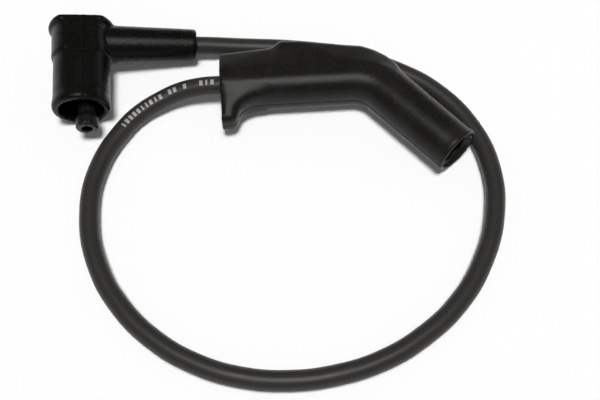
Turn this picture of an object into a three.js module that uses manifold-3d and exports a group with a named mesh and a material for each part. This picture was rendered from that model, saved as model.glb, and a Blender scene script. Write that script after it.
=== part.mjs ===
// Spark plug wire: a 7 mm ignition cable with a right-angle boot for the coil and a long bent boot
// for the plug, lying on a flat surface in one open loop. Millimetres, +Z up, surface at z = 0.
// The origin is on the surface, under the middle of the box that holds the two boots.
import * as THREE from 'three';
import * as BufferGeometryUtils from 'three/addons/utils/BufferGeometryUtils.js';
import Module from 'manifold-3d';

const wasm = await Module();
wasm.setup();

// Clearances and facets
const GAP = 0.3;                 // between two pieces that touch
const OVER = 1;                  // how far a cutting solid runs past the face that it opens
const LAP = 0.1;                 // how far one shape of a moulding starts inside the next
const ROUND_SIDES = 32;
const SMALL_SIDES = 16;
const BARREL_SIDES = 40;
const BOOT_SIDES = 48;
const BEND_STEPS = 14;           // along a bore or neck that follows the plug boot's bend

// Cable
const CABLE_R = 3.5;
const CABLE_SIDES = 12;
const CABLE_STEPS = 52;
const CORE_R = 0.9;              // stripped conductor at each end of the cable
const CORE_TAIL = 4;

// Where the coil boot lies: its barrel points to -Y and its arm to +X, then it is pitched until
// the mouth is down on the surface, rolled until the end of the arm is down too, and turned.
const ELBOW_AT = new THREE.Vector3(-65.61, 19.9, 12.75);
const ELBOW_PITCH = 4.5;
const ELBOW_ROLL = 8.67;
const ELBOW_YAW = 5.8;

// Coil boot
const MOUTH_FROM_ARM = 28.3;     // from the arm's axis to the mouth of the skirt
const BACK_FROM_ARM = 7.3;       // from the arm's axis to the back of the flange
const COLLAR_R = 11;
const COLLAR_TO = 7;             // where the collar steps down to the barrel
const COLLAR_STEP = 0.4;
const BARREL_R = 10.3;
const LIP_R = 10.65;
const LIP_LENGTH = 2.4;
const LIP_FLARE = 2.4;
const LIP_ROUND = 1.4;
const SKIRT_WALL = 2.5;
const SKIRT_DEPTH = 18;
const FLANGE_R = 12.2;
const FLANGE_THICK = 2.2;
const FLANGE_FLAT = 9.4;         // from the barrel's axis to each of the two flats
const COLLAR_FLAT_TO = 8.1;      // the upper flat runs on over the collar to here
const FLANGE_BEVEL = 0.5;
const ARM_FROM = 6;              // the arm's cone starts inside the barrel
const ARM_LENGTH = 42.6;
const ARM_ROOT_R = 7.35;
const ARM_END_R = 6.2;
const ARM_END_ROUND = 1;

// Post in the skirt, and the coil terminal inside it
const POST_OFFSET = 2;           // sideways from the barrel's axis, towards the arm
const POST_PROUD = 7.2;          // how far it stands out of the skirt
const POST_STEM_R = 3.2;
const POST_TIP_R = 4.1;
const POST_TIP_LENGTH = 4;
const POST_FLARE = 1.6;
const POST_ROUND = 0.9;
const POST_ROOT = 5.4;           // from the arm's axis to the inner end of the post
const POST_BORE_R = 2;
const SOCKET_WALL = 0.5;
const SOCKET_RECESS = 5;         // from the tip of the post to the end of the socket
const SOCKET_DEPTH = 13;

// Crimps, one on each end of the cable
const CRIMP_WALL = 0.5;
const CRIMP_LENGTH = 12;
const CRIMP_BACK = 1;            // thickness of the closed back of a crimp
const NECK_R = 1.7;
const ELBOW_CABLE_END = 8;       // from the barrel's axis to the cable's end in the arm

// Where the plug boot lies: its own frame starts at the middle of the end that the cable enters,
// with +X along the straight part. The bent leg turns to -Y.
const PLUG_YAW = 3.8;
const PLUG_X = -13.29;
const PLUG_Y = 4.1;

// Plug boot
const TUBE_R = 8.9;              // half the boot's height, and the round back of its section
const FRONT_REACH = 9.7;         // the front side is flatter, with rounded edges above and below
const FRONT_EDGE_R = 7.5;
const STRAIGHT = 47.6;           // to where the bend starts
const BEND_R = 17;
const BEND_ANGLE = 51.1;
const LEG = 35.6;                // from the end of the bend to the mouth
const RIM_R = 9.15;
const RIM_LENGTH = 4;
const RIM_ROUND = 0.8;
const WEB_R = 4;                 // rounding of the web's back edge
const WEB_LIFT = 2.4;            // the web rises over the cable that passes under it
const WEB_REACH = [              // part of the straight length, reach from the tube's axis
  [0, 11.3], [0.4, 12.9], [0.48, 16], [0.64, 15.5], [1, 12.4],
];
const WEB_FADE = [               // part of the bend, reach from the tube's axis
  [0.2, 12.2], [0.4, 11.4], [0.6, 10.6], [0.8, 9.7],
];
const LUG_REACH = 17.8;          // finger lug at the cable end, from the tube's axis to its tip
const LUG_WIDTH = 6.2;
const LUG_CORNER = 3.6;          // rounding of its tip, seen from above
const LUG_NECK = 2.2;            // beyond the tip's width, where its curve turns along the tube
const LUG_ROOT = 16;             // along the tube, where the curve meets the front side
const LUG_FADE = 8;              // further along, where the lug's edge has sunk into the tube
const LUG_SINK = 3.4;
const LUG_EDGE_R = 3.4;          // rounding of its upper and lower edges
const LUG_TIP_HALF = 5.2;        // half its height at the tip
const BORE_R = 5.7;              // socket of the boot, for the plug's insulator
const RECESS_R = 7.2;            // stepped mouth
const RECESS_DEPTH = 1.6;

// Plug terminal
const PLUG_CABLE_END = 44;       // along the tube, from the end that the cable enters
const TERMINAL_R = 4;
const TERMINAL_WALL = 0.7;
const TERMINAL_LENGTH = 11.5;
const TERMINAL_TOP = 1.2;
const TERMINAL_FROM_BEND = 2;    // from the end of the bend to the top of the terminal
const CLIP_WIRE_R = 0.45;
const CLIP_FROM_OPEN_END = 3.5;
const CLIP_SWEEP = 300;
const CLIP_SIDES = 8;
const CLIP_STEPS = 28;

// The cable's route, from its end in the coil boot to its end in the plug boot. These points are
// its centreline. The first and last few are in line with the two bores.
const ROUTE = [
  [-57.74, 20.7, 11.54], [-45.94, 21.9, 9.74], [-34.14, 23.1, 7.93], [-23.71, 24.16, 6.33],
  [-17.39, 24.58, 5.5], [-9.99, 24.85, 4.6], [-0.99, 25, 3.9], [8.01, 24.85, 3.6],
  [24.01, 23.2, 3.52], [40.01, 19.5, 3.52], [53.21, 14.2, 3.52], [66.61, 5.2, 3.52],
  [78.81, -10.6, 3.52], [84.51, -28.6, 3.52], [83.91, -46.5, 3.52], [78.21, -64, 3.52],
  [68.81, -78.9, 3.52], [56.51, -90.4, 3.52], [42.61, -98.7, 3.52], [27.71, -103.5, 3.52],
  [12.51, -105.4, 3.52], [-2.79, -104.3, 3.52], [-17.79, -99.8, 3.52], [-31.69, -91.8, 3.52],
  [-43.89, -80.1, 3.52], [-52.99, -65, 3.52], [-57.59, -47.1, 3.52], [-56.39, -28.4, 3.52],
  [-48.39, -11.2, 3.6], [-42.59, -4.6, 4.1], [-35.89, -0.4, 5.4], [-28.49, 2.6, 7],
  [-20.99, 3.8, 8.4], [-13.29, 4.1, 9.1], [-4.31, 4.7, 9.15], [6.67, 5.43, 9.15],
  [18.64, 6.22, 9.15], [30.61, 7.02, 9.15],
];

const rad = THREE.MathUtils.degToRad;

// Solids: a closed mesh becomes a solid that can be joined and cut.
function solid(geometry, matrix = new THREE.Matrix4()) {
  const placed = geometry.clone();
  placed.deleteAttribute('normal');
  placed.deleteAttribute('uv');
  const bare = BufferGeometryUtils.mergeVertices(placed, 1e-5);
  bare.applyMatrix4(matrix);
  const corners = bare.index.array;
  const triVerts = new Uint32Array(corners);
  if (signedVolume(bare) < 0) {
    for (let i = 0; i < triVerts.length; i += 3) {
      triVerts[i] = corners[i + 1];
      triVerts[i + 1] = corners[i];
    }
  }
  const vertProperties = new Float32Array(bare.attributes.position.array);
  return new wasm.Manifold(new wasm.Mesh({ numProp: 3, vertProperties, triVerts }));
}

function signedVolume(geometry) {
  const place = geometry.attributes.position;
  const index = geometry.index.array;
  const [a, b, c] = [new THREE.Vector3(), new THREE.Vector3(), new THREE.Vector3()];
  let sum = 0;
  for (let i = 0; i < index.length; i += 3) {
    a.fromBufferAttribute(place, index[i]);
    b.fromBufferAttribute(place, index[i + 1]);
    c.fromBufferAttribute(place, index[i + 2]);
    sum += a.dot(b.cross(c));
  }
  return sum;
}

function join(solids) {
  return solids.reduce((whole, next) => whole.add(next));
}

function mesh(name, body, material) {
  const { vertProperties, triVerts } = body.getMesh();
  const geometry = new THREE.BufferGeometry();
  geometry.setAttribute('position', new THREE.BufferAttribute(new Float32Array(vertProperties), 3));
  geometry.setIndex(new THREE.BufferAttribute(new Uint32Array(triVerts), 1));
  geometry.computeVertexNormals();
  const piece = new THREE.Mesh(geometry, material);
  piece.name = name;
  return piece;
}

// A turned piece: pairs of radius and place along the axis, anticlockwise from the axis.
// The axis is +Y before the matrix is applied.
function turned(profile, sides, matrix) {
  const points = profile.map(([r, along]) => new THREE.Vector2(r, along));
  return solid(new THREE.LatheGeometry(points, sides), matrix);
}

function rod(radius, from, to, sides, matrix) {
  return turned([[0, from], [radius, from], [radius, to], [0, to]], sides, matrix);
}

// A quarter round on a turned profile, with its middle at (r, along).
function quarter(r, along, size, fromAngle, steps = 4) {
  return Array.from({ length: steps + 1 }, (_, i) => {
    const angle = rad(fromAngle + (90 * i) / steps);
    return [r + size * Math.cos(angle), along + size * Math.sin(angle)];
  });
}

// A round bar along a curve, with closed ends.
function bar(curve, radius, sides, steps) {
  const circle = new THREE.Shape(
    Array.from({ length: sides }, (_, i) => {
      const angle = (2 * Math.PI * (i + 0.5)) / sides;
      return new THREE.Vector2(radius * Math.cos(angle), radius * Math.sin(angle));
    }),
  );
  return new THREE.ExtrudeGeometry(circle, { steps, bevelEnabled: false, extrudePath: curve });
}

// Coil boot frame: +Y runs along the barrel, away from its mouth, and +X along the arm.
const alongArm = new THREE.Matrix4().makeRotationZ(-Math.PI / 2);
const alongPost = new THREE.Matrix4().makeTranslation(POST_OFFSET, 0, 0);
const skirtR = LIP_R - SKIRT_WALL;
const skirtFloor = -MOUTH_FROM_ARM + SKIRT_DEPTH;
const cableBoreR = CABLE_R + GAP;
const crimpR = cableBoreR + CRIMP_WALL;
const crimpBoreR = crimpR + GAP;
const postTip = -(MOUTH_FROM_ARM + POST_PROUD);

function elbowBoot() {
  const mouth = -MOUTH_FROM_ARM;
  const barrel = turned([
    [0, mouth], [skirtR, mouth],
    ...quarter(LIP_R - LIP_ROUND, mouth + LIP_ROUND, LIP_ROUND, -90),
    [LIP_R, mouth + LIP_LENGTH], [BARREL_R, mouth + LIP_LENGTH + LIP_FLARE],
    [BARREL_R, -COLLAR_TO - COLLAR_STEP], [COLLAR_R, -COLLAR_TO],
    [COLLAR_R, BACK_FROM_ARM], [0, BACK_FROM_ARM],
  ], BARREL_SIDES);

  // The flange is a disc with two flats, one above and one below.
  const flatHalf = Math.acos((FLANGE_FLAT - FLANGE_BEVEL) / (FLANGE_R - FLANGE_BEVEL));
  const outline = new THREE.Shape();
  outline.absarc(0, 0, FLANGE_R - FLANGE_BEVEL, -Math.PI / 2 + flatHalf, Math.PI / 2 - flatHalf);
  outline.absarc(0, 0, FLANGE_R - FLANGE_BEVEL, Math.PI / 2 + flatHalf, 1.5 * Math.PI - flatHalf);
  const flange = solid(new THREE.ExtrudeGeometry(outline, {
    depth: FLANGE_THICK - 2 * FLANGE_BEVEL, curveSegments: 12, bevelThickness: FLANGE_BEVEL,
    bevelSize: FLANGE_BEVEL, bevelSegments: 2,
  }), new THREE.Matrix4().makeTranslation(0, BACK_FROM_ARM - FLANGE_BEVEL, 0)
    .multiply(new THREE.Matrix4().makeRotationX(Math.PI / 2)));

  const arm = turned([
    [0, ARM_FROM], [ARM_ROOT_R, ARM_FROM],
    ...quarter(ARM_END_R - ARM_END_ROUND, ARM_LENGTH - ARM_END_ROUND, ARM_END_ROUND, 0),
    [0, ARM_LENGTH],
  ], ROUND_SIDES, alongArm);

  const aboveLength = COLLAR_FLAT_TO + BACK_FROM_ARM + OVER;
  const above = solid(
    new THREE.BoxGeometry(2 * COLLAR_R, aboveLength, COLLAR_R),
    new THREE.Matrix4()
      .makeTranslation(0, aboveLength / 2 - COLLAR_FLAT_TO, FLANGE_FLAT + COLLAR_R / 2),
  );
  const crimpEnd = ELBOW_CABLE_END + CRIMP_LENGTH + GAP;
  return join([barrel.subtract(above), flange, arm])
    .subtract(rod(skirtR, mouth - OVER, skirtFloor, ROUND_SIDES))
    .subtract(rod(POST_STEM_R + GAP, skirtFloor - OVER, 0, ROUND_SIDES, alongPost))
    .subtract(rod(crimpBoreR, 0, crimpEnd, ROUND_SIDES, alongArm))
    .subtract(rod(cableBoreR, 0, ARM_LENGTH + OVER, ROUND_SIDES, alongArm));
}

function terminalPost() {
  const flareFrom = postTip + POST_TIP_LENGTH;
  return turned([
    [POST_BORE_R, postTip],
    ...quarter(POST_TIP_R - POST_ROUND, postTip + POST_ROUND, POST_ROUND, -90),
    [POST_TIP_R, flareFrom], [POST_STEM_R, flareFrom + POST_FLARE],
    [POST_STEM_R, -POST_ROOT], [POST_BORE_R, -POST_ROOT], [POST_BORE_R, postTip],
  ], ROUND_SIDES, alongPost);
}

// A crimp is a cup around the end of the cable, open at +Y, with a hole for the conductor.
function crimp(cableEnd, matrix) {
  const back = cableEnd - GAP - CRIMP_BACK;
  return turned([
    [CORE_R + GAP, back], [crimpR, back], [crimpR, cableEnd + CRIMP_LENGTH],
    [cableBoreR, cableEnd + CRIMP_LENGTH], [cableBoreR, cableEnd - GAP],
    [CORE_R + GAP, cableEnd - GAP], [CORE_R + GAP, back],
  ], ROUND_SIDES, matrix);
}

function coilTerminal() {
  const socketR = POST_BORE_R - GAP;
  const open = postTip + SOCKET_RECESS;
  const shank = turned([
    [socketR - SOCKET_WALL, open], [socketR, open], [socketR, NECK_R], [0, NECK_R],
    [0, open + SOCKET_DEPTH], [socketR - SOCKET_WALL, open + SOCKET_DEPTH],
    [socketR - SOCKET_WALL, open],
  ], ROUND_SIDES, alongPost);
  const neck = rod(NECK_R, POST_OFFSET, ELBOW_CABLE_END - GAP - CRIMP_BACK / 2, SMALL_SIDES, alongArm);
  const coreHole = rod(CORE_R + GAP, ELBOW_CABLE_END - CORE_TAIL - GAP, ELBOW_CABLE_END + OVER,
    SMALL_SIDES, alongArm);
  return join([shank, neck, crimp(ELBOW_CABLE_END, alongArm)]).subtract(coreHole);
}

function coreTail(cableEnd, matrix) {
  return rod(CORE_R, cableEnd - CORE_TAIL, cableEnd - GAP, SMALL_SIDES, matrix);
}

// Plug boot frame: the path that the tube follows, straight, then round the bend, then straight.
const bendAngle = rad(BEND_ANGLE);
const bendLength = BEND_R * bendAngle;
const legFrom = STRAIGHT + bendLength;
const terminalTop = legFrom + TERMINAL_FROM_BEND;
const mouthAt = legFrom + LEG;
const tubeTo = mouthAt - RIM_ROUND;
const boreDepth = mouthAt - terminalTop + GAP;

// Place and turn at a distance along the tube: +Y runs along it and +X to its front side.
function station(distance) {
  const inBend = THREE.MathUtils.clamp(distance - STRAIGHT, 0, bendLength);
  const turn = inBend / BEND_R;
  const before = Math.min(distance, STRAIGHT);
  const after = Math.max(distance - STRAIGHT - bendLength, 0);
  const x = before + BEND_R * Math.sin(turn) + after * Math.cos(turn);
  const y = -BEND_R * (1 - Math.cos(turn)) - after * Math.sin(turn);
  return new THREE.Matrix4().makeTranslation(x, y, 0)
    .multiply(new THREE.Matrix4().makeRotationZ(-Math.PI / 2 - turn));
}

class TubePath extends THREE.Curve {
  constructor(from, to) {
    super();
    this.from = from;
    this.to = to;
  }

  getPoint(part) {
    const distance = this.from + part * (this.to - this.from);
    return new THREE.Vector3().setFromMatrixPosition(station(distance));
  }
}

// The outline across the boot at a distance along the tube: a band drawn tight round its discs.
// The front side's edges are rounded less than the tube. Beyond the straight part they turn
// slowly into its round. Where there is a web, reach is from the tube's axis to its back edge.
function section(distance, reach) {
  const roundness = THREE.MathUtils.clamp((distance - STRAIGHT) / (tubeTo - STRAIGHT), 0, 1);
  const edgeR = THREE.MathUtils.lerp(FRONT_EDGE_R, TUBE_R, roundness);
  const front = THREE.MathUtils.lerp(FRONT_REACH, TUBE_R, roundness) - edgeR;
  const discs = [[0, 0, TUBE_R], [front, TUBE_R - edgeR, edgeR], [front, edgeR - TUBE_R, edgeR]];
  if (reach) discs.push([WEB_R - reach, WEB_LIFT, WEB_R]);
  const matrix = station(distance);
  return Array.from({ length: BOOT_SIDES }, (_, i) => {
    const angle = (2 * Math.PI * i) / BOOT_SIDES;
    const [across, up] = [Math.cos(angle), Math.sin(angle)];
    const reaches = discs.map(([x, z, r]) => x * across + z * up + r);
    const [x, z, r] = discs[reaches.indexOf(Math.max(...reaches))];
    return new THREE.Vector3(x + r * across, 0, z + r * up).applyMatrix4(matrix);
  });
}

// A closed skin over outlines that all have BOOT_SIDES points.
function skin(outlines) {
  const ends = [outlines[0], outlines[outlines.length - 1]].map(
    (outline) => outline.reduce((sum, point) => sum.add(point), new THREE.Vector3())
      .divideScalar(BOOT_SIDES),
  );
  const points = [...outlines.flat(), ...ends];
  const index = [];
  for (let i = 0; i < BOOT_SIDES; i += 1) {
    const j = (i + 1) % BOOT_SIDES;
    const last = (outlines.length - 1) * BOOT_SIDES;
    index.push(points.length - 2, j, i, points.length - 1, last + i, last + j);
    for (let from = 0; from < last; from += BOOT_SIDES) {
      const to = from + BOOT_SIDES;
      index.push(from + i, from + j, to + j, from + i, to + j, to + i);
    }
  }
  const geometry = new THREE.BufferGeometry().setFromPoints(points);
  geometry.setIndex(index);
  return geometry;
}

// The finger lug is a plate with rounded edges that gets thinner towards its tip. Its outline
// runs past the end that the cable enters, to be cut off there.
function fingerLug() {
  const past = LUG_CORNER;
  const halfHeight = TUBE_R - LAP;
  const edgeFrom = FRONT_REACH - FRONT_EDGE_R;
  const inside = LUG_EDGE_R - edgeFrom;
  const plan = new THREE.Shape();
  plan.moveTo(-past, inside);
  plan.lineTo(-past, -LUG_REACH);
  plan.absarc(LUG_WIDTH - LUG_CORNER, LUG_CORNER - LUG_REACH, LUG_CORNER, -Math.PI / 2, 0);
  plan.quadraticCurveTo(LUG_WIDTH + LUG_NECK, -FRONT_REACH, LUG_ROOT, -FRONT_REACH);
  plan.lineTo(LUG_ROOT + LUG_FADE, LUG_SINK - FRONT_REACH);
  plan.lineTo(LUG_ROOT + LUG_FADE, inside);
  const plate = new THREE.ExtrudeGeometry(plan, {
    depth: 2 * (halfHeight - LUG_EDGE_R), curveSegments: 8, bevelThickness: LUG_EDGE_R,
    bevelSize: LUG_EDGE_R, bevelOffset: -LUG_EDGE_R, bevelSegments: 4,
  });
  plate.translate(0, 0, LUG_EDGE_R - halfHeight);
  const place = plate.attributes.position;
  const flatTo = LUG_REACH - LUG_EDGE_R;
  for (let i = 0; i < place.count; i += 1) {
    const part = (-place.getY(i) - edgeFrom) / (flatTo - edgeFrom);
    place.setZ(i, place.getZ(i) * THREE.MathUtils.lerp(1, LUG_TIP_HALF / halfHeight, part));
  }
  return solid(plate);
}

function plugBoot() {
  const outlines = [
    section(-OVER, WEB_REACH[0][1]),
    ...WEB_REACH.slice(1).map(([part, reach]) => section(part * STRAIGHT, reach)),
    ...WEB_FADE.map(([part, reach]) => section(STRAIGHT + part * bendLength, reach)),
    section(legFrom), section(tubeTo),
  ];
  const rim = turned([
    [0, -RIM_LENGTH], [TUBE_R - LAP, -RIM_LENGTH],
    ...quarter(RIM_R - RIM_ROUND, -RIM_ROUND, RIM_ROUND, 0), [0, 0],
  ], BOOT_SIDES, station(mouthAt));

  const beyondEnd = solid(
    new THREE.BoxGeometry(LUG_REACH, 2 * (LUG_REACH + OVER), 2 * (RIM_R + OVER)),
    new THREE.Matrix4().makeTranslation(-LUG_REACH / 2, 0, 0),
  );
  const terminalFrom = PLUG_CABLE_END - CRIMP_LENGTH - GAP;
  const innerPath = new TubePath(terminalFrom, terminalTop);
  return join([solid(skin(outlines)), fingerLug(), rim])
    .subtract(beyondEnd)
    .subtract(rod(cableBoreR, -OVER, PLUG_CABLE_END, ROUND_SIDES, station(0)))
    .subtract(solid(bar(innerPath, crimpBoreR, ROUND_SIDES, BEND_STEPS)))
    .subtract(rod(BORE_R, -boreDepth, OVER, ROUND_SIDES, station(mouthAt)))
    .subtract(rod(RECESS_R, -RECESS_DEPTH, OVER, ROUND_SIDES, station(mouthAt)));
}

// +Y runs back along the cable, out of the boot, for the crimp and the conductor.
const againstCable = station(0).multiply(new THREE.Matrix4().makeRotationX(Math.PI));

// The terminal has a neck that follows the bend back to its crimp.
function plugTerminal() {
  const inner = TERMINAL_R - TERMINAL_WALL;
  const socket = turned([
    [0, 0], [TERMINAL_R, 0], [TERMINAL_R, TERMINAL_LENGTH], [inner, TERMINAL_LENGTH],
    [inner, TERMINAL_TOP], [0, TERMINAL_TOP],
  ], ROUND_SIDES, station(terminalTop));
  const cup = crimp(-PLUG_CABLE_END, againstCable);
  const crimpTop = PLUG_CABLE_END + GAP + CRIMP_BACK / 2;
  const neckPath = new TubePath(crimpTop, terminalTop + TERMINAL_TOP / 2);
  const neck = solid(bar(neckPath, NECK_R, SMALL_SIDES, BEND_STEPS));
  const coreHole = rod(CORE_R + GAP, PLUG_CABLE_END - OVER, PLUG_CABLE_END + CORE_TAIL + GAP,
    SMALL_SIDES, station(0));
  return join([socket, cup, neck]).subtract(coreHole);
}

// An open spring ring around the terminal, near its open end.
class ClipPath extends THREE.Curve {
  getPoint(part) {
    const angle = rad(CLIP_SWEEP) * (part - 0.5);
    const radius = TERMINAL_R + GAP + CLIP_WIRE_R;
    const along = TERMINAL_LENGTH - CLIP_FROM_OPEN_END;
    return new THREE.Vector3(radius * Math.sin(angle), along, radius * Math.cos(angle))
      .applyMatrix4(station(terminalTop));
  }
}

const paint = {
  boot: new THREE.MeshStandardMaterial({ color: 0x17171a, roughness: 0.42, metalness: 0 }),
  post: new THREE.MeshStandardMaterial({ color: 0x232529, roughness: 0.4, metalness: 0 }),
  jacket: new THREE.MeshStandardMaterial({ color: 0x3c3b3b, roughness: 0.5, metalness: 0 }),
  brass: new THREE.MeshStandardMaterial({ color: 0xb08d45, roughness: 0.35, metalness: 1 }),
  steel: new THREE.MeshStandardMaterial({ color: 0x9a9a9c, roughness: 0.3, metalness: 1 }),
  core: new THREE.MeshStandardMaterial({ color: 0x2a2a2a, roughness: 0.8, metalness: 0 }),
};

const elbow = new THREE.Group();
elbow.position.copy(ELBOW_AT);
elbow.rotation.set(rad(ELBOW_PITCH), rad(ELBOW_ROLL), rad(ELBOW_YAW), 'ZYX');
elbow.add(
  mesh('elbow_boot', elbowBoot(), paint.boot),
  mesh('terminal_post', terminalPost(), paint.post),
  mesh('coil_terminal', coilTerminal(), paint.brass),
  mesh('coil_end_conductor', coreTail(ELBOW_CABLE_END, alongArm), paint.core),
);

const plug = new THREE.Group();
plug.position.set(PLUG_X, PLUG_Y, RIM_R);
plug.rotation.z = rad(PLUG_YAW);
plug.add(
  mesh('plug_boot', plugBoot(), paint.boot),
  mesh('plug_terminal', plugTerminal(), paint.steel),
  mesh('terminal_clip', solid(bar(new ClipPath(), CLIP_WIRE_R, CLIP_SIDES, CLIP_STEPS)), paint.steel),
  mesh('plug_end_conductor', coreTail(-PLUG_CABLE_END, againstCable), paint.core),
);

const route = new THREE.CatmullRomCurve3(ROUTE.map(([x, y, z]) => new THREE.Vector3(x, y, z)));
const cable = mesh('ignition_cable', solid(bar(route, CABLE_R, CABLE_SIDES, CABLE_STEPS)), paint.jacket);

const lead = new THREE.Group();
lead.add(elbow, plug, cable);

export default lead;
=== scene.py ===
# Spark plug wire: a 7 mm ignition cable with two rubber boots, on a white surface.
# The frame is the CAD model's, with +Z up. A name that ends in _MM or _mm holds millimetres, one that
# ends in _CM or _cm holds centimetres, and any other length is in metres.
import math

import bmesh
import bpy
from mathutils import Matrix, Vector


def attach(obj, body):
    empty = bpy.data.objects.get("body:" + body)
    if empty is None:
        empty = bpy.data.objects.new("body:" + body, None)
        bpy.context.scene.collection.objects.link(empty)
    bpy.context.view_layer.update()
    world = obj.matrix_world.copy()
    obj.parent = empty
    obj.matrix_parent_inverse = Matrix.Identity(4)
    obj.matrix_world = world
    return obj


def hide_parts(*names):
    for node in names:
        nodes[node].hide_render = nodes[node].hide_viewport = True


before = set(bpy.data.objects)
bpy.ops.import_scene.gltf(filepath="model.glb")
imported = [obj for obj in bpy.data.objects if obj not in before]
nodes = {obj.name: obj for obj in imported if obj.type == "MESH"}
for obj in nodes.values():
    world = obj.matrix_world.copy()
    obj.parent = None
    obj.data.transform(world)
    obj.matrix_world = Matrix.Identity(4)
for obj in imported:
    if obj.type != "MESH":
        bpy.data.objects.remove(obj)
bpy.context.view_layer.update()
MM = 0.001
CM = 0.01
X, Z = 0, 2                             # a vector's first and last part


def link(name, data):
    piece = bpy.data.objects.new(name, data)
    bpy.context.scene.collection.objects.link(piece)
    return piece


# Camera, where the photograph was taken from
CAMERA_AT_MM = (15.94, -182.9, 282.8)
CAMERA_TILT = 27.0                      # degrees from straight down
CAMERA_LENS_MM = 53.4
CAMERA_SENSOR_MM = 36.0
CAMERA_CLIP = (0.01, 10.0)


def make_camera():
    data = bpy.data.cameras.new("camera")
    data.lens = CAMERA_LENS_MM
    data.sensor_width = CAMERA_SENSOR_MM
    data.clip_start, data.clip_end = CAMERA_CLIP
    camera = link("camera", data)
    camera.location = Vector(CAMERA_AT_MM) * MM
    camera.rotation_euler.x = math.radians(CAMERA_TILT)
    bpy.context.scene.camera = camera


make_camera()

# Cable: the route is the CAD source's, from inside the coil boot's arm to inside the plug boot.
CABLE_R_MM = 3.5
ROUTE_MM = [
    (-45.94, 21.9, 9.74), (-34.14, 23.1, 7.93), (-23.71, 24.16, 6.33), (-17.39, 24.58, 5.5),
    (-9.99, 24.85, 4.6), (-0.99, 25, 3.9), (8.01, 24.85, 3.6), (24.01, 23.2, 3.52),
    (40.01, 19.5, 3.52), (53.21, 14.2, 3.52), (66.61, 5.2, 3.52), (78.81, -10.6, 3.52),
    (84.51, -28.6, 3.52), (83.91, -46.5, 3.52), (78.21, -64, 3.52), (68.81, -78.9, 3.52),
    (56.51, -90.4, 3.52), (42.61, -98.7, 3.52), (27.71, -103.5, 3.52), (12.51, -105.4, 3.52),
    (-2.79, -104.3, 3.52), (-17.79, -99.8, 3.52), (-31.69, -91.8, 3.52), (-43.89, -80.1, 3.52),
    (-52.99, -65, 3.52), (-57.59, -47.1, 3.52), (-56.39, -28.4, 3.52), (-48.39, -11.2, 3.6),
    (-42.59, -4.6, 4.1), (-35.89, -0.4, 5.4), (-28.49, 2.6, 7), (-20.99, 3.8, 8.4),
    (-13.29, 4.1, 9.1), (-4.31, 4.7, 9.15), (6.67, 5.43, 9.15), (18.64, 6.22, 9.15),
    (30.61, 7.02, 9.15),
]
RINGS_BETWEEN_POINTS = 16
RING_BEVEL = 14                         # gives each ring 32 sides


def as_mesh(piece):
    """The mesh that a piece has with its modifiers, without the piece itself."""
    graph = bpy.context.evaluated_depsgraph_get()
    mesh = bpy.data.meshes.new_from_object(piece.evaluated_get(graph), depsgraph=graph)
    bpy.data.objects.remove(piece)
    return mesh


def route_mesh(radius):
    """A closed tube along the route, or a bare line where the radius is 0."""
    curve = bpy.data.curves.new("route", "CURVE")
    curve.dimensions = "3D"
    curve.twist_mode = "Z_UP"
    curve.resolution_u = RINGS_BETWEEN_POINTS
    curve.bevel_depth = radius
    curve.bevel_resolution = RING_BEVEL
    curve.use_fill_caps = True
    spline = curve.splines.new("BEZIER")
    spline.bezier_points.add(len(ROUTE_MM) - 1)
    for point, place in zip(spline.bezier_points, ROUTE_MM):
        point.co = Vector(place) * MM
        point.handle_left_type = "AUTO"
        point.handle_right_type = "AUTO"
    return as_mesh(link("route", curve))


def make_cable():
    centreline = [vert.co.copy() for vert in route_mesh(0.0).vertices]
    along = [0.0]
    for here, after in zip(centreline, centreline[1:]):
        along.append(along[-1] + (after - here).length)
    mesh = route_mesh(CABLE_R_MM * MM)
    # The map's U becomes the distance along the cable in centimetres, and its V goes round it once.
    for corner in mesh.uv_layers[0].data:
        ring = round(corner.uv[0] * (len(along) - 1))
        corner.uv[0] = along[ring] / CM
    mesh.shade_smooth()
    piece = link("cable", mesh)
    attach(piece, "root")
    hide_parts("ignition_cable")
    return piece


cable = make_cable()

# Boots: copies of the CAD solids in even small cells, with the fillets of moulded rubber.
COIL_BOOT_CELL_MM = 0.36
PLUG_BOOT_CELL_MM = 0.4
POST_CELL_MM = 0.2
BOOT_ROUNDS = 10                        # rounds of relaxing: more of them make wider fillets
POST_ROUNDS = 6
LUG_ROOT_ROUNDS = 70
LUG_ROOT_MM = ((-12.8, -11.5, 11.0), (6.0, -0.5, 20.0))  # corners of a box at the finger lug's root
MERGE_MM = 0.001
RELAX_STEP = 0.5                        # of a vertex's way to its neighbours' middle, in one round


def relax(body, verts, rounds):
    for _ in range(rounds):
        bmesh.ops.smooth_vert(
            body, verts=verts, factor=RELAX_STEP, use_axis_x=True, use_axis_y=True, use_axis_z=True
        )


def between(vert, low_mm, high_mm):
    return all(low * MM < place < high * MM for low, place, high in zip(low_mm, vert.co, high_mm))


def moulded_copy(name, node, cell_mm, rounds, soft_box_mm=None, soft_rounds=0):
    """A copy of a CAD node, relaxed until its joins are fillets, and in its soft box further."""
    solid = link(name, nodes[node].data.copy())
    solid.data.materials.clear()
    body = bmesh.new()
    body.from_mesh(solid.data)
    bmesh.ops.remove_doubles(body, verts=body.verts, dist=MERGE_MM * MM)
    body.to_mesh(solid.data)
    body.free()
    cells = solid.modifiers.new("cells", "REMESH")
    cells.mode = "VOXEL"
    cells.voxel_size = cell_mm * MM
    mesh = as_mesh(solid)
    body = bmesh.new()
    body.from_mesh(mesh)
    relax(body, body.verts, rounds)
    if soft_box_mm:
        relax(body, [vert for vert in body.verts if between(vert, *soft_box_mm)], soft_rounds)
    body.to_mesh(mesh)
    body.free()
    mesh.shade_smooth()
    piece = link(name, mesh)
    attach(piece, "root")
    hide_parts(node)
    return piece


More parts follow.
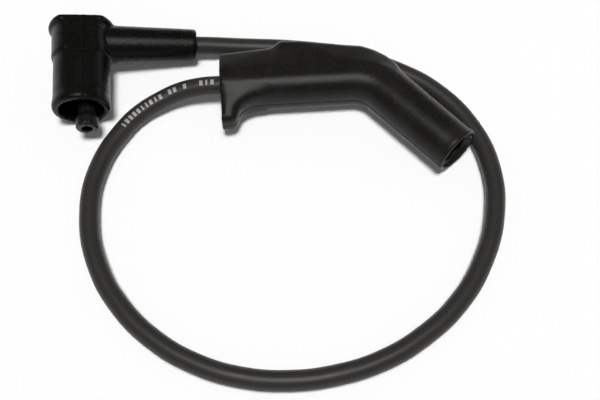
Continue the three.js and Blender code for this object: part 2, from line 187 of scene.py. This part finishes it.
coil_boot = moulded_copy(
    "coil_boot_moulding", "elbow_boot", COIL_BOOT_CELL_MM, BOOT_ROUNDS
)
plug_boot = moulded_copy(
    "plug_boot_moulding", "plug_boot", PLUG_BOOT_CELL_MM, BOOT_ROUNDS,
    LUG_ROOT_MM, LUG_ROOT_ROUNDS,
)
post = moulded_copy("post_moulding", "terminal_post", POST_CELL_MM, POST_ROUNDS)

# Materials


class Wire:
    """A socket in a node tree. Sums and products of wires add the nodes that work them out."""

    def __init__(self, tree, socket):
        self.tree = tree
        self.socket = socket

    def math(self, operation, *values):
        return self.tree.node(
            "ShaderNodeMath", {"operation": operation}, dict(enumerate((self, *values)))
        )

    def __add__(self, other):
        return self.math("ADD", other)

    def __sub__(self, other):
        return self.math("SUBTRACT", other)

    def __rsub__(self, other):
        return self.math("MULTIPLY", -1.0).math("ADD", other)

    def __mul__(self, other):
        return self.math("MULTIPLY", other)

    def __gt__(self, other):
        return self.math("GREATER_THAN", other)

    def __lt__(self, other):
        return self.math("LESS_THAN", other)

    def __abs__(self):
        return self.math("ABSOLUTE")

    __radd__ = __add__
    __rmul__ = __mul__

    def smooth(self, low, high):
        """0 below low and 1 above high, with a soft step between them."""
        return self.tree.node(
            "ShaderNodeMapRange", {"interpolation_type": "SMOOTHSTEP"},
            {"Value": self, "From Min": low, "From Max": high},
        )


class Tree:
    """A node tree, and the one way that nodes are added to it."""

    def __init__(self, tree):
        self.nodes = tree.nodes
        self.links = tree.links

    def node(self, kind, settings=None, values=None, output=0):
        made = self.nodes.new(kind)
        for key, value in (settings or {}).items():
            setattr(made, key, value)
        for key, value in (values or {}).items():
            self.feed(made.inputs[key], value)
        return Wire(self, made.outputs[output])

    def feed(self, socket, value):
        if isinstance(value, Wire):
            self.links.new(value.socket, socket)
        else:
            socket.default_value = value

    def parts(self, vector):
        split = self.node("ShaderNodeSeparateXYZ", None, {"Vector": vector})
        return [Wire(self, output) for output in split.socket.node.outputs]

    def rays(self, *kinds):
        """1 where a ray is of one of these kinds, and 0 for every other ray."""
        total = self.node("ShaderNodeLightPath", output=f"Is {kinds[0]} Ray")
        for kind in kinds[1:]:
            total = total.math("MAXIMUM", self.node("ShaderNodeLightPath", output=f"Is {kind} Ray"))
        return total


MIX_PART, MIX_FIRST, MIX_SECOND = 0, 6, 7   # a Mix node's inputs for colours
MIX_RESULT = 2                          # and its output


class Paint(Tree):
    """A material."""

    def __init__(self, name):
        self.material = bpy.data.materials.new(name)
        self.material.use_nodes = True
        super().__init__(self.material.node_tree)

    def surface(self, **values):
        shader = self.nodes["Principled BSDF"]
        for key, value in values.items():
            self.feed(shader.inputs[key.replace("_", " ")], value)

    def place(self):
        return self.node("ShaderNodeTexCoord", output="Object")

    def noise(self, vector, scale, detail, roughness=0.5):
        return self.node(
            "ShaderNodeTexNoise", None,
            {"Vector": vector, "Scale": scale, "Detail": detail, "Roughness": roughness},
        )

    def mix(self, part, first, second):
        return self.node(
            "ShaderNodeMix", {"data_type": "RGBA"},
            {MIX_PART: part, MIX_FIRST: first, MIX_SECOND: second}, MIX_RESULT,
        )

    def bump(self, height, distance_mm):
        return self.node("ShaderNodeBump", None, {"Height": height, "Distance": distance_mm * MM})

    def put_on(self, *pieces):
        for piece in pieces:
            piece.data.materials.clear()
            piece.data.materials.append(self.material)


WARM_GREEN, WARM_BLUE = 0.96, 0.86      # of a warm black, as shares of its red


def rgb(red, green, blue):
    return (red, green, blue, 1.0)


def grey(level):
    return rgb(level, level, level)


def warm_black(level):
    return rgb(level, WARM_GREEN * level, WARM_BLUE * level)


# Rubber: a finish is the base level, the roughness and the specular level. A noise is its scale, which
# counts its waves in a metre, its detail and, where it isn't 0.5, its roughness.
COIL_BOOT_FINISH = (0.003, 0.14, 0.16)
POST_FINISH = (0.006, 0.16, 0.35)
PLUG_BOOT_FINISH = (0.0075, 0.17, 0.2)
CLOUD_NOISE = (90.0, 4.0, 0.6)
CLOUD_DULLNESS = 0.12
CLOUD_HEIGHT = 0.5
BLOOM_RANGE = (0.35, 0.75)              # where in the clouds the rubber turns from black to bloom
BLOOM_LEVEL = 1.7                       # in base levels
SPECKLE_NOISE = (1100.0, 5.0, 0.75)
SPECKLE_DULLNESS = 0.16
SPECKLE_HEIGHT = 0.6
DUST_RANGE = (0.48, 0.68)               # where in the speckles dust lies
DUST_LEVEL = 3.0                        # in base levels
DUST_COVER = 0.8
COIL_BOOT_TURN = (4.5, 8.67, 5.8)       # degrees that the boot is pitched, rolled and turned by
PLUG_BOOT_TURN = (0.0, 0.0, 0.0)
COIL_BOOT_SEAM_MM = (-64.7, 20.0, 12.6)
POST_SEAM_MM = (-63.64, 20.1, 12.45)
PLUG_BOOT_SEAM_MM = (0.0, 0.0, 9.15)
SEAM_EDGE_MM = (0.2, 0.5)               # the line is whole up to the first, and gone at the second
# how dark the mould line is painted, as painted shade standing for the shade in its groove
SEAM_SHADE_COVER = 0.8
SEAM_DULLNESS = 0.3
SEAM_DEPTH = 3.0
RUBBER_BUMP_MM = 0.12


def moulded_rubber(name, seam_at_mm, turn, across, finish):
    """Black rubber with the line where its mould parts. The line lies on a plane through seam_at_mm,
    which is square to the axis across after the turn."""
    level, roughness, gloss = finish
    paint = Paint(name)
    place = paint.place()
    own = paint.node(
        "ShaderNodeMapping", {"vector_type": "TEXTURE"},
        {
            "Vector": place, "Location": Vector(seam_at_mm) * MM,
            "Rotation": [math.radians(angle) for angle in turn],
        },
    )
    seam = 1 - abs(paint.parts(own)[across]).smooth(*(edge * MM for edge in SEAM_EDGE_MM))
    cloud = paint.noise(place, *CLOUD_NOISE)
    speckle = paint.noise(place, *SPECKLE_NOISE)
    bloom = cloud.smooth(*BLOOM_RANGE)
    dust = speckle.smooth(*DUST_RANGE) * DUST_COVER
    color = paint.mix(bloom, warm_black(level), warm_black(BLOOM_LEVEL * level))
    color = paint.mix(dust, color, warm_black(DUST_LEVEL * level))
    # Painted shade: the mould line's groove is darkened in the colour, on top of its real depth in the
    # bump.
    color = paint.mix(seam * SEAM_SHADE_COVER, color, grey(0.0))
    dullness = cloud * CLOUD_DULLNESS + speckle * SPECKLE_DULLNESS + seam * SEAM_DULLNESS
    height = cloud * CLOUD_HEIGHT + speckle * SPECKLE_HEIGHT - seam * SEAM_DEPTH
    paint.surface(
        Base_Color=color,
        Roughness=roughness + dullness,
        Normal=paint.bump(height, RUBBER_BUMP_MM),
        Specular_IOR_Level=gloss,
    )
    return paint


# Jacket of the cable
JACKET_LEVELS = (0.022, 0.036)          # of its dark and its pale streaks
JACKET_ROUGHNESS = 0.3
JACKET_GLOSS = 0.27
JACKET_BUMP_MM = 0.06
STREAK_STRETCH = (0.5, 40.0, 1.0)       # waves in a centimetre along the cable, and in a turn round it
STREAK_NOISE = (1.0, 2.0)               # on the map stretched so
STREAK_HEIGHT = 0.5
GRAIN_NOISE = (3200.0, 2.0)
GRAIN_HEIGHT = 0.15
HAZE_NOISE = (120.0, 3.0)
HAZE_DULLNESS = 0.14
HAZE_HEIGHT = 0.4
PRINT_FROM_CM, PRINT_TO_CM = 41.2, 45.2  # along the cable, just before it enters the plug boot
PRINT_AROUND = 0.245                    # where the marks lie round the cable, in turns
PRINT_HEIGHT = 0.045                    # half their height, in turns
PRINT_PITCH_CM = 0.2
PRINT_MIDDLE = 0.5                      # of a mark, in pitches
TICK_WIDTH = 0.16                       # half a tick's width, in pitches
BLOCK_EXTRA = 0.14                      # what half a block is wider
EMPTY_BELOW, BLOCK_ABOVE = 0.22, 0.55   # of a place's random value; between them it holds a tick
WEAR_NOISE = (5000.0, 2.0)
WEAR_RANGE = (0.2, 0.45)
INK = rgb(0.5, 0.5, 0.48)
INK_COVER = 0.7
INK_SHEEN = 0.1                         # how much less rough it is than the jacket
INK_HEIGHT = 0.25


def cable_jacket():
    paint = Paint("cable_jacket")
    place = paint.place()
    lay = paint.node("ShaderNodeTexCoord", output="UV")
    along_cm, around, _ = paint.parts(lay)
    stretched = paint.node("ShaderNodeMapping", None, {"Vector": lay, "Scale": STREAK_STRETCH})
    streak = paint.noise(stretched, *STREAK_NOISE)
    grain = paint.noise(place, *GRAIN_NOISE)
    haze = paint.noise(place, *HAZE_NOISE)
    # Plain ticks and blocks in white ink, one to a pitch. Some places for one stay empty.
    pitches = along_cm * (1.0 / PRINT_PITCH_CM)
    kind = paint.node(
        "ShaderNodeTexWhiteNoise", {"noise_dimensions": "1D"}, {"W": pitches.math("FLOOR")},
        output="Value",
    )
    width = TICK_WIDTH + (kind > BLOCK_ABOVE) * BLOCK_EXTRA
    in_width = abs(pitches.math("FRACT") - PRINT_MIDDLE) < width
    in_height = abs(around - PRINT_AROUND) < PRINT_HEIGHT
    printed = (along_cm > PRINT_FROM_CM) * (along_cm < PRINT_TO_CM)
    worn = paint.noise(place, *WEAR_NOISE).smooth(*WEAR_RANGE)
    ink = in_width * in_height * (kind > EMPTY_BELOW) * printed * worn
    color = paint.mix(streak, *(warm_black(level) for level in JACKET_LEVELS))
    color = paint.mix(ink * INK_COVER, color, INK)
    height = streak * STREAK_HEIGHT + grain * GRAIN_HEIGHT + haze * HAZE_HEIGHT + ink * INK_HEIGHT
    paint.surface(
        Base_Color=color,
        Roughness=JACKET_ROUGHNESS + haze * HAZE_DULLNESS - ink * INK_SHEEN,
        Normal=paint.bump(height, JACKET_BUMP_MM),
        Specular_IOR_Level=JACKET_GLOSS,
    )
    return paint


# Metal of the terminals, and the stripped ends of the conductor
BRASS = rgb(0.72, 0.5, 0.2)
BRASS_ROUGHNESS = 0.3
PLATED_STEEL = rgb(0.55, 0.55, 0.56)
STEEL_ROUGHNESS = 0.28
TARNISH_NOISE = (400.0, 3.0)
TARNISH = rgb(0.2, 0.18, 0.15)
TARNISH_COVER = 0.3
TARNISH_DULLNESS = 0.2
STRAND_NOISE = (4000.0, 2.0)
STRAND_LEVELS = (0.015, 0.05)
STRAND_ROUGHNESS = 0.8
STRAND_BUMP_MM = 0.05


def plain_metal(name, base, roughness):
    paint = Paint(name)
    tarnish = paint.noise(paint.place(), *TARNISH_NOISE)
    paint.surface(
        Base_Color=paint.mix(tarnish * TARNISH_COVER, base, TARNISH),
        Roughness=roughness + tarnish * TARNISH_DULLNESS,
        Metallic=1.0,
    )
    return paint


def core_fibre():
    paint = Paint("core_fibre")
    strands = paint.noise(paint.place(), *STRAND_NOISE)
    paint.surface(
        Base_Color=paint.mix(strands, *(grey(level) for level in STRAND_LEVELS)),
        Roughness=STRAND_ROUGHNESS,
        Normal=paint.bump(strands, STRAND_BUMP_MM),
    )
    return paint


moulded_rubber(
    "coil_boot_rubber", COIL_BOOT_SEAM_MM, COIL_BOOT_TURN, X, COIL_BOOT_FINISH
).put_on(coil_boot)
moulded_rubber("post_rubber", POST_SEAM_MM, COIL_BOOT_TURN, X, POST_FINISH).put_on(post)
moulded_rubber(
    "plug_boot_rubber", PLUG_BOOT_SEAM_MM, PLUG_BOOT_TURN, Z, PLUG_BOOT_FINISH
).put_on(plug_boot)
cable_jacket().put_on(cable)
plain_metal("brass", BRASS, BRASS_ROUGHNESS).put_on(nodes["coil_terminal"])
plain_metal("plated_steel", PLATED_STEEL, STEEL_ROUGHNESS).put_on(
    nodes["plug_terminal"], nodes["terminal_clip"]
)
core_fibre().put_on(nodes["coil_end_conductor"], nodes["plug_end_conductor"])

# Floor and light
FLOOR_SIDE = 6.0
FLOOR_Z_MM = -0.02
FLOOR_LEVEL = 0.93
FLOOR_ROUGHNESS = 0.9
FLOOR_GLOSS = 0.1
FLOOR_GLOW = 0.06                       # lifts the lit floor to white
SUN_LEVEL = 0.92                        # how bright the sun makes a white surface, where 1 is white
SUN_ANGLE = 16.0
SUN_TILT = 10.0                         # degrees from overhead, towards the camera's side
SOFTBOX_RADIANCE = 6.5
SOFTBOX_AT = (0.0, -0.2, 0.98)
SOFTBOX_SIDE = 0.56
WORLD_LEVEL = 0.1
HORIZON = (0.05, 0.12)                  # the backdrop that a mirror sees fades between these heights


def make_floor():
    shape = bmesh.new()
    bmesh.ops.create_grid(shape, x_segments=1, y_segments=1, size=FLOOR_SIDE / 2)
    bmesh.ops.translate(shape, verts=shape.verts, vec=(0.0, 0.0, FLOOR_Z_MM * MM))
    mesh = bpy.data.meshes.new("floor")
    shape.to_mesh(mesh)
    shape.free()
    floor = link("floor", mesh)
    paint = Paint("white_floor")
    seen = paint.rays("Camera", "Glossy", "Transmission")
    paint.surface(
        Base_Color=grey(FLOOR_LEVEL),
        Roughness=FLOOR_ROUGHNESS,
        Specular_IOR_Level=FLOOR_GLOSS,
        Emission_Color=paint.mix(seen, grey(0.0), grey(1.0)),
        Emission_Strength=FLOOR_GLOW,
    )
    paint.put_on(floor)


def make_lights():
    """A sun that gives no glints, and a softbox that gives only those."""
    sun = bpy.data.lights.new("sun", "SUN")
    sun.energy = math.pi * SUN_LEVEL
    sun.angle = math.radians(SUN_ANGLE)
    lamp = link("sun", sun)
    lamp.rotation_euler.x = math.radians(SUN_TILT)
    lamp.visible_glossy = False
    softbox = bpy.data.lights.new("softbox", "AREA")
    softbox.size = SOFTBOX_SIDE
    softbox.energy = math.pi * SOFTBOX_SIDE ** 2 * SOFTBOX_RADIANCE
    lamp = link("softbox", softbox)
    lamp.location = SOFTBOX_AT
    lamp.rotation_euler = Vector(SOFTBOX_AT).to_track_quat("Z", "Y").to_euler()
    lamp.visible_diffuse = False


def make_world():
    world = bpy.data.worlds.new("studio")
    world.use_nodes = True
    sky = Tree(world.node_tree)
    height = sky.parts(sky.node("ShaderNodeTexCoord", output="Generated"))[Z]
    backdrop = sky.rays("Glossy", "Transmission") * (1 - height.smooth(*HORIZON))
    white = sky.rays("Camera").math("MAXIMUM", backdrop)
    background = sky.nodes["Background"]
    sky.feed(background.inputs["Color"], grey(1.0))
    sky.feed(background.inputs["Strength"], white * (1.0 - WORLD_LEVEL) + WORLD_LEVEL)
    bpy.context.scene.world = world


make_floor()
make_lights()
make_world()
bpy.context.scene.view_settings.view_transform = "Standard"
